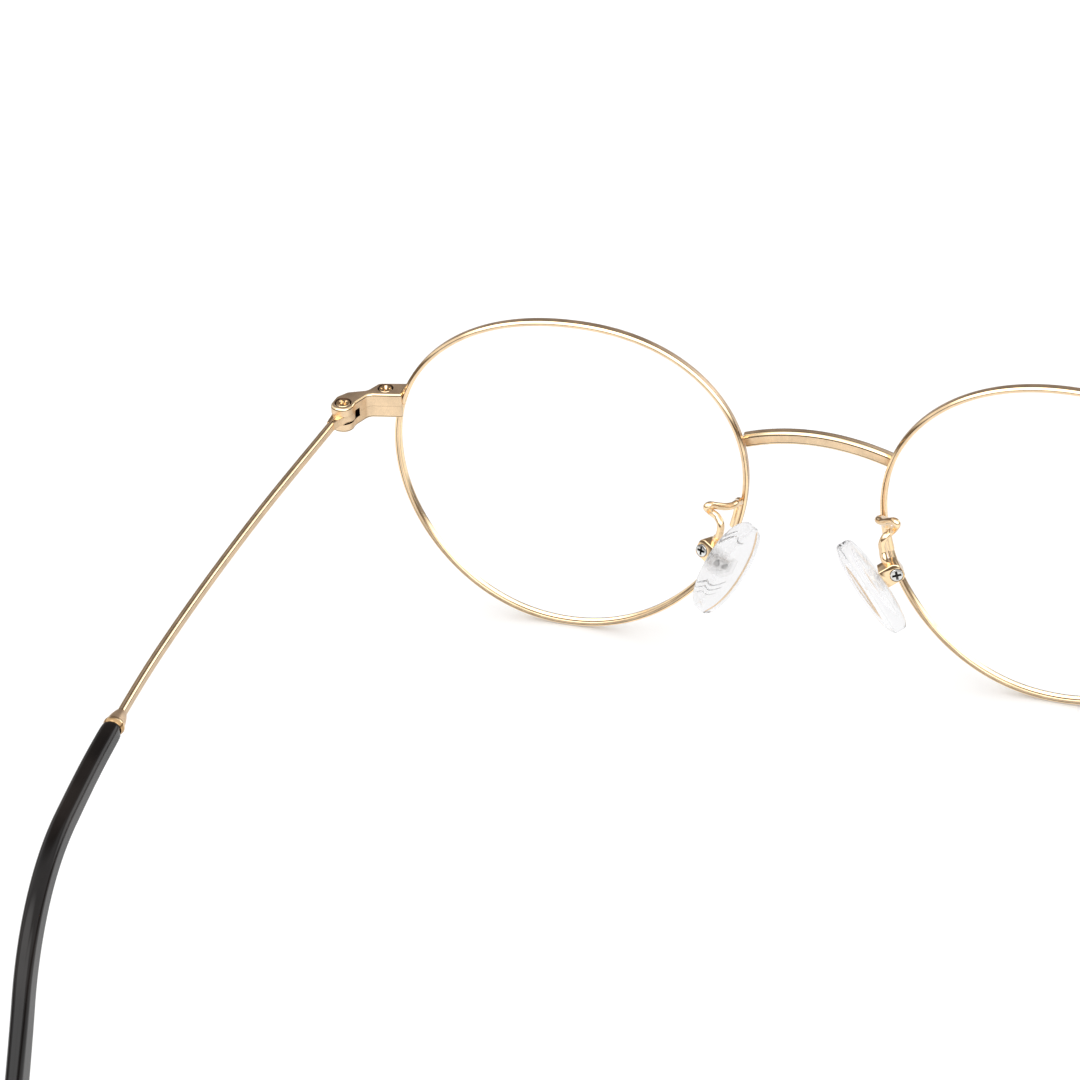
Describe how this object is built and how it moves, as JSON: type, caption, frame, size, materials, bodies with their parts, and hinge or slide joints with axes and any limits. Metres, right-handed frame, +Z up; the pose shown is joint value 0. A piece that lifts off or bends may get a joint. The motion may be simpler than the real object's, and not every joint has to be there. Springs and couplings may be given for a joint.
{
  "type": "eyeglasses",
  "caption": "Thin metal eyeglasses with round-oval lenses, a curved bridge, clear adjustable nose pads, screwed hinge blocks and folding wire temples with black tips.",
  "frame": {"origin": "under the middle of the opened glasses' box, at the level that the rims and the temple tips stand on", "axes": "+Z up, +Y towards the back of the head, +X towards the wearer's left"},
  "size_m": [0.1346, 0.1358, 0.0468],
  "materials": {
    "gold_metal": "plated nickel silver, satin faces with polished chamfers",
    "polished_gold": "polished gold plating",
    "steel": "bright",
    "lens_resin": "clear, polished",
    "clear_silicone": "clear, soft",
    "insert_resin": "clear",
    "black_acetate": "gloss"
  },
  "bodies": {
    "front": {"bridge": "gold_metal", "eyewire_left": "gold_metal", "lens_left": "lens_resin", "closing_block_upper_left": "gold_metal", "closing_block_lower_left": "gold_metal", "closing_screw_left": "polished_gold", "hinge_screw_left": "polished_gold", "pad_arm_left": "polished_gold", "pad_box_left": "polished_gold", "pad_screw_left": "steel", "eyewire_right": "gold_metal", "lens_right": "lens_resin", "closing_block_upper_right": "gold_metal", "closing_block_lower_right": "gold_metal", "closing_screw_right": "polished_gold", "hinge_screw_right": "polished_gold", "pad_arm_right": "polished_gold", "pad_box_right": "polished_gold", "pad_screw_right": "steel"},
    "temple_left": {"temple_left": "gold_metal", "ferrule_left": "gold_metal", "temple_tip_left": "black_acetate"},
    "temple_right": {"temple_right": "gold_metal", "ferrule_right": "gold_metal", "temple_tip_right": "black_acetate"},
    "nose_pad_left": {"nose_pad_left": "clear_silicone", "pad_insert_left": "insert_resin"},
    "nose_pad_right": {"nose_pad_right": "clear_silicone", "pad_insert_right": "insert_resin"}
  },
  "joints": [
    {"name": "temple_hinge_left", "type": "hinge", "parent": "front", "child": "temple_left", "pos_m": [0.06345, -0.05958, 0.03158], "axis": [0, 0, 1], "range_deg": [0, 85]},
    {"name": "temple_hinge_right", "type": "hinge", "parent": "front", "child": "temple_right", "pos_m": [-0.06345, -0.05958, 0.03158], "axis": [0, 0, -1], "range_deg": [0, 89]},
    {"name": "nose_pad_swivel_left", "type": "hinge", "parent": "front", "child": "nose_pad_left", "pos_m": [0.01271, -0.05792, 0.0198], "axis": [-0.4439, -0.8675, -0.2242], "range_deg": [-8, 8]},
    {"name": "nose_pad_swivel_right", "type": "hinge", "parent": "front", "child": "nose_pad_right", "pos_m": [-0.01263, -0.05748, 0.02104], "axis": [-0.3155, 0.9429, 0.1064], "range_deg": [-8, 8]}
  ]
}
